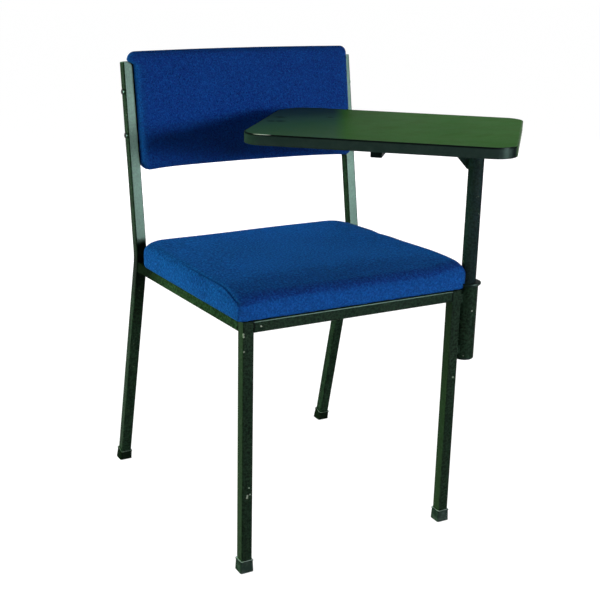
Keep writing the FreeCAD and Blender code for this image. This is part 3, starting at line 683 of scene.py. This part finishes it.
def corner_arcs(corners, radii):
    """Start, centre and end of the arc that rounds each corner."""
    arcs = []
    for i, (corner, radius) in enumerate(zip(corners, radii)):
        point = Vector(corner)
        before = (Vector(corners[i - 1]) - point).normalized()
        after = (Vector(corners[(i + 1) % len(corners)]) - point).normalized()
        half = before.angle(after) / 2
        run = radius / math.tan(half)
        centre = point + (before + after).normalized() * (radius / math.sin(half))
        arcs.append((point + before * run, centre, point + after * run))
    return arcs


def slide_arc(start, centre, end, share):
    """Point on an arc a share of the way from its start."""
    a, b = start - centre, end - centre
    angle = a.angle(b)
    if angle < 1e-6:
        return start.lerp(end, share)
    left = math.sin((1 - share) * angle) / math.sin(angle)
    right = math.sin(share * angle) / math.sin(angle)
    return centre + a * left + b * right


def along_path(path, lengths, place):
    """Point on a path at a length along it."""
    for i in range(1, len(path)):
        if lengths[i] >= place:
            span = lengths[i] - lengths[i - 1]
            return path[i - 1].lerp(path[i], (place - lengths[i - 1]) / span if span else 0)
    return path[-1].copy()


def corner_run(corners, radii, count):
    """Points round a rounded polygon: count for each side, close together in corners."""
    found = []
    arcs = corner_arcs(corners, radii)
    steps = range(ARC_STEPS + 1)
    for this, following in zip(arcs, arcs[1:] + arcs[:1]):
        path = [slide_arc(*this, 0.5 + 0.5 * k / ARC_STEPS) for k in steps]
        path += [slide_arc(*following, 0.5 * k / ARC_STEPS) for k in steps]
        lengths = [0.0]
        for a, b in zip(path, path[1:]):
            lengths.append(lengths[-1] + (b - a).length)
        for j in range(count):
            t = j / count
            t -= CORNER_CROWDING * math.sin(2 * math.pi * t) / (2 * math.pi)
            found.append(along_path(path, lengths, t * lengths[-1]))
    return found


def ring_point(ring, place):
    """Point between the ring's own points at a place from 0 to 4."""
    k = place * len(ring) / 4
    low = int(math.floor(k)) % len(ring)
    return ring[low].lerp(ring[(low + 1) % len(ring)], k - math.floor(k))


def grid_ring(count, i, j):
    """Ring size and place round the ring of a point in a square grid."""
    u, v = 2 * i / count - 1, 2 * j / count - 1
    size = max(abs(u), abs(v))
    if size < TINY:
        return 0.0, 0.0
    u, v = u / size, v / size
    if abs(v + 1) < TINY:
        place = (u + 1) / 2
    elif abs(u - 1) < TINY:
        place = 1 + (v + 1) / 2
    elif abs(v - 1) < TINY:
        place = 2 + (1 - u) / 2
    else:
        place = 3 + (1 - v) / 2
    return size, place % 4


def close_end(points, faces, count, cap, base, turned):
    """Square grid of faces inside the ring that starts at the point base."""
    grid = {}
    for i in range(count + 1):
        for j in range(count + 1):
            size, place = grid_ring(count, i, j)
            if size > 1 - TINY:
                grid[i, j] = base + int(round(place * count)) % (4 * count)
            else:
                grid[i, j] = len(points)
                points.append(cap(size, place))
    for i in range(count):
        for j in range(count):
            quad = (grid[i, j], grid[i + 1, j], grid[i + 1, j + 1], grid[i, j + 1])
            faces.append(tuple(reversed(quad)) if turned else quad)


def pillow(count, rings, cap_low, cap_high):
    """Closed quads: a lower grid, rings up the side and an upper grid.

    rings are lists of 4 * count points; the caps map a ring size and a place
    in the ring to a point."""
    points = [point for ring in rings for point in ring]
    faces = []
    total = 4 * count
    last = (len(rings) - 1) * total
    for base in range(0, last, total):
        for k in range(total):
            a, b = base + k, base + (k + 1) % total
            faces.append((a, b, b + total, a + total))
    close_end(points, faces, count, cap_low, 0, True)
    close_end(points, faces, count, cap_high, last, False)
    return points, faces


def make_piece(name, points, faces, material):
    """A smooth closed mesh with its faces turned outward."""
    mesh = bpy.data.meshes.new(name)
    mesh.from_pydata([metres(p) for p in points], [], faces)
    mesh.materials.append(material)
    piece = bpy.data.objects.new(name, mesh)
    scene.collection.objects.link(piece)
    work = bmesh.new()
    work.from_mesh(mesh)
    bmesh.ops.recalc_face_normals(work, faces=work.faces)
    work.to_mesh(mesh)
    work.free()
    for polygon in mesh.polygons:
        polygon.use_smooth = True
    return piece


def make_cushion(name, points, faces, material, node):
    """A cushion's cover over the solid that it takes the place of."""
    cover = make_piece(name, points, faces, material)
    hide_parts(node)
    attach(cover, "chair")


def smooth(low, high, value):
    """Share that eases from 0 at low to 1 at high."""
    t = min(1.0, max(0.0, (value - low) / (high - low)))
    return t * t * (3 - 2 * t)


def crease(offset, width):
    """Share of a crease's depth at a distance from its line."""
    return math.exp(-(offset / width) ** 2)


def quarter_turns(steps, first):
    """Angles of a quarter turn cut in steps."""
    return [math.pi / 2 * k / steps for k in range(first, steps + 1)]


# Seat cushion
SEAT_FRONT = -10.5
SEAT_REAR = 357.5
SEAT_FRONT_HALF = 212.0
SEAT_REAR_HALF = 234.0
SEAT_SPREAD = (SEAT_REAR_HALF - SEAT_FRONT_HALF) / (SEAT_REAR - SEAT_FRONT)
SEAT_CORNERS = (8.0, 8.0, 42.0, 30.0)
SEAT_CENTRE = Vector((0, 173.0, 0))
SEAT_LOW = RAIL_TOP + 0.4
SEAT_TOP = SEAT_LOW + 44.6
SEAT_UNDER_INSET = 12.6
SEAT_UNDER_RISES = (12.2, 8, 4, 0.3)
SEAT_WALL = ((9.0, 0.0), (5.0, 0.15), (2.4, 0.9), (0.9, 2.4), (0.2, 4.6), (0.0, 7.5),
             (0.0, 12.0), (0.0, 17.0), (0.0, 21.5))
SEAT_ROLL_STEPS = 20
SEAT_ROLL_RUN = 14.0
SEAT_ROLL_RISE = 20.0
SEAT_CROWN = 3.2
SEAT_WORN_DRAW = 38.0
SEAT_FRONT_DRAW = 13.0
SEAT_COUNT = 64
COLLAR_REACH = 22.0
COLLAR_TOP = RAIL_TOP + 11.5
POST_REACH = 13.1

# How the seat's cover gives: depths, and ranges over which they ease in
UPPER_ZONE = (SEAT_LOW + 20, SEAT_TOP - 2)
CORNER_PULLS = ((-1, 7.0), (1, 2.5))
CORNER_PULL_X = 26
CORNER_PULL_Y = 34
CORNER_CREASE = 1.1
CORNER_CREASE_IN = 5.5
CORNER_CREASE_WIDTH = 2.2
FOLD_DEPTH = 2.6
FOLD_PINCH = 1.2
FOLD_PINCH_IN = 5
FOLD_WIDTH = 1.5
FOLD_IN = 8.5
FOLD_IN_AT_FRONT = 5.0
RIGHT_ZONE = (140, 205)
FRONT_ZONE = (-4, 82)
FRONT_PRESS = 3.6
RIGHT_CORNER_ZONE = (60, 200)
RIGHT_CORNER_LIFT = 4.2
WORN_START = (190, 300)
WORN_END = (322, 350)
WORN_DEPTH = 7.0
REAR_ZONE = (270, 345)
REAR_ACROSS = (-120, 60)
REAR_LIFT = 1.6


def seat_loop(inset, rise, draw=0.0, front_draw=0.0):
    """Outline drawn in by inset, at the worn rear corner by draw, and at the front."""
    front, rear = SEAT_FRONT + inset + front_draw, SEAT_REAR - inset
    front_x = SEAT_FRONT_HALF + SEAT_SPREAD * inset - inset
    rear_x = SEAT_REAR_HALF - SEAT_SPREAD * inset - inset
    corners = [(-front_x, front, 0), (front_x, front, 0), (rear_x - draw, rear, 0),
               (-rear_x, rear, 0)]
    radii = [radius + 0.35 * inset for radius in SEAT_CORNERS]
    lift = Vector((0, 0, SEAT_LOW + rise))
    return [p + lift for p in corner_run(corners, radii, SEAT_COUNT)]


def pull_corners(point, height):
    """Cover drawn down at the front corners, with a crease up the front beside each."""
    for side, pull in CORNER_PULLS:
        across = side * point.x - SEAT_FRONT_HALF
        corner = crease(across, CORNER_PULL_X) * crease(point.y + 10, CORNER_PULL_Y)
        point.z -= pull * height * corner
        front_face = 1 - smooth(-9, -3, point.y)
        up = smooth(SEAT_LOW, SEAT_LOW + 6, point.z)
        line = crease(across + CORNER_CREASE_IN, CORNER_CREASE_WIDTH)
        point.y += CORNER_CREASE * line * front_face * up


def fold_left_edge(point, height):
    """The fold that runs back from the front left corner."""
    gap = SEAT_FRONT_HALF + SEAT_SPREAD * (point.y - SEAT_FRONT) + point.x
    line = FOLD_IN_AT_FRONT + (FOLD_IN - FOLD_IN_AT_FRONT) * smooth(-10, 60, point.y)
    fade = height * (1 - smooth(130, 250, point.y)) * smooth(-8, 4, point.y)
    point.z -= FOLD_DEPTH * fade * crease(gap - line, FOLD_WIDTH)
    short = 1 - smooth(50, 110, point.y)
    point.x += FOLD_PINCH * fade * short * crease(gap - line + FOLD_PINCH_IN, 1.6)


def clear_post(point):
    """Side pressed in where the socket's collar and the post stand."""
    around = point - POST_AXIS
    around.z = 0
    reach = COLLAR_REACH if point.z < COLLAR_TOP else POST_REACH
    if around.length < reach:
        around *= reach / around.length
        point.x, point.y = POST_AXIS.x + around.x, POST_AXIS.y + around.y


def seat_wear(point):
    """Height that use has added or pressed away at the front, right and rear."""
    right = smooth(*RIGHT_ZONE, point.x)
    front = (1 - smooth(*FRONT_ZONE, point.y)) * (1 - 0.9 * right)
    corner = (1 - smooth(*RIGHT_CORNER_ZONE, point.y)) * right
    worn = smooth(*WORN_START, point.y) * (1 - smooth(*WORN_END, point.y)) * right
    rear = smooth(*REAR_ZONE, point.y) * smooth(*REAR_ACROSS, point.x) * (1 - right)
    raised = RIGHT_CORNER_LIFT * corner + REAR_LIFT * rear
    return raised - FRONT_PRESS * front - WORN_DEPTH * worn


def soften_seat(point):
    """Cover folded and pressed as in use, and its side clear of the post."""
    height = smooth(*UPPER_ZONE, point.z)
    wear = seat_wear(point)
    pull_corners(point, height)
    fold_left_edge(point, height)
    point.z += height * wear
    clear_post(point)
    return point


def seat_rings():
    """Outlines from the tucked underside, up the wall and over the rolled top edge."""
    rings = [seat_loop(SEAT_UNDER_INSET, rise) for rise in SEAT_UNDER_RISES]
    rings += [seat_loop(inset, rise) for inset, rise in SEAT_WALL]
    for turn in quarter_turns(SEAT_ROLL_STEPS, 1):
        bend = 1 - math.cos(turn)
        rise = SEAT_TOP - SEAT_LOW - SEAT_ROLL_RISE * (1 - math.sin(turn))
        rings.append(seat_loop(SEAT_ROLL_RUN * bend, rise, SEAT_WORN_DRAW * math.sin(turn),
                               SEAT_FRONT_DRAW * bend))
    return rings


def make_seat(cloth):
    rings = seat_rings()

    def cap_low(size, place):
        p = ring_point(rings[0], place)
        flat = SEAT_CENTRE.lerp(p, size)
        flat.z = p.z
        return flat

    def cap_high(size, place):
        flat = SEAT_CENTRE.lerp(ring_point(rings[-1], place), size)
        flat.z = SEAT_TOP + SEAT_CROWN * (1 - size ** 3.2)
        return flat

    points, faces = pillow(SEAT_COUNT, rings, cap_low, cap_high)
    softened = [soften_seat(p) for p in points]
    make_cushion("seat_cushion_cover", softened, faces, cloth, "seat_cushion")


# Back cushion, measured along and out from the leaning uprights
BACK_LOW = 159.5
BACK_HIGH = 362.0
BACK_NARROW = 208.4
BACK_WIDE = 213.5
BACK_SAG = 10.0
BACK_SAG_HALF = 209.0
BACK_COUNT = 56
BACK_WALL = ((-5, 5.0, 4.0, -11.0), (-2.0, 2.0, 6.0, -10.4), (-0.5, 0.6, 7.5, -8.8),
             (0.0, 0.0, 8.0, -6.5), (0.0, 0.0, 8.0, -1.0), (0.0, 0.0, 8.0, 4.5),
             (0.0, 0.0, 8.0, 8.2), (1.4, 0.0, 8.5, 10.2), (4.4, 0.0, 9.0, 10.6))
BACK_ROLL_STEPS = 10
BACK_ROLL_RUN = 19.0
BACK_ROLL_DROP = 13.0
BACK_ROLL_START = 11.6
BACK_ROLL_RISE = 17.9
BACK_ROLL_RADIUS = 11.0
BACK_CROWN = 1.2
BACK_TOP_RISE = 2.7
BACK_HALF_HEIGHT = 90
BACK_END_ZONE = (150, 205)
BACK_FRONT_ZONE = (6, 14)
BACK_TIP_ZONE = (340, 347)
BACK_TIP_DRAW = 13.5
BACK_PINCH_ZONE = (BACK_LOW - 4, BACK_LOW + 13)
BACK_PINCH = 8.5
BACK_LEFT_DRAW = 3.0
BACK_RIGHT_DRAW = 3.2


def drape_back(x, along, out):
    """Top edge crowned, bottom corners drawn down, and the top end over its upright."""
    s = min(1.0, abs(x) / BACK_WIDE)
    upper = smooth(BACK_LOW + BACK_HALF_HEIGHT, BACK_HIGH, along)
    lower = 1 - smooth(BACK_LOW, BACK_LOW + BACK_HALF_HEIGHT, along)
    along += upper * BACK_TOP_RISE * (1 - s * s)
    along -= lower * (2.6 * s ** 6 + 2 * s * s - 0.4)
    over = smooth(*BACK_END_ZONE, abs(x)) * smooth(*BACK_FRONT_ZONE, out)
    if x < 0:
        x += over * (BACK_LEFT_DRAW - BACK_TIP_DRAW * smooth(*BACK_TIP_ZONE, along))
        pinch = 1 - smooth(*BACK_PINCH_ZONE, along)
        x += smooth(*BACK_END_ZONE, -x) * BACK_PINCH * pinch
    else:
        x += over * BACK_RIGHT_DRAW
    return x, along, out


def back_place(x, along, out):
    """Point of the pad, curved to the sitter and draped on the uprights."""
    sag = BACK_SAG * (1 - (x / BACK_SAG_HALF) ** 2)
    x, along, out = drape_back(x, along, out - sag)
    return KNEE + Vector((x, 0, 0)) + UP_LEAN * along + FRONT_LEAN * out


def back_loop(half, inset, radius):
    """Rounded outline, drawn in by inset above and below."""
    low, high = BACK_LOW + inset, BACK_HIGH - inset
    corners = [(-half, low, 0), (half, low, 0), (half, high, 0), (-half, high, 0)]
    return corner_run(corners, [radius, radius, radius, radius + 5], BACK_COUNT)


def back_loops():
    """Outlines with how far out they stand, up the wall and over the front edge."""
    loops = [(back_loop(BACK_NARROW + spread, inset, radius), out)
             for spread, inset, radius, out in BACK_WALL]
    for turn in quarter_turns(BACK_ROLL_STEPS, 0):
        bend = 1 - math.cos(turn)
        run = BACK_ROLL_RUN * bend
        loop = back_loop(BACK_WIDE - run, BACK_ROLL_DROP * bend, BACK_ROLL_RADIUS + run * 0.4)
        loops.append((loop, BACK_ROLL_START + BACK_ROLL_RISE * math.sin(turn)))
    return loops


def back_cap(loop, out, crown):
    """Map from a ring size and place to a point inside a loop."""
    middle = (BACK_LOW + BACK_HIGH) / 2

    def place_at(size, place):
        p = ring_point(loop, place)
        along = middle + (p.y - middle) * size
        return back_place(p.x * size, along, out + crown * (1 - size ** 3))

    return place_at


def make_back(cloth):
    loops = back_loops()
    rings = [[back_place(p.x, p.y, out) for p in loop] for loop, out in loops]
    points, faces = pillow(BACK_COUNT, rings, back_cap(*loops[0], 0.0),
                           back_cap(*loops[-1], BACK_CROWN))
    make_cushion("back_cushion_cover", points, faces, cloth, "back_cushion")


make_camera()
make_world()
make_floor()
make_lights()
dress_paint()
dress_plastic()
dress_rest()
make_seat(cloth_material("seat_fabric", (0.0047, 0.0345, 0.187), (0.0069, 0.069, 0.32),
                         grain=300, turned=0.28, rubbed_and_front_light=0.17))
make_back(cloth_material("back_fabric", (0.0042, 0.034, 0.190), (0.0062, 0.063, 0.29),
                         grain=430, turned=0.06))
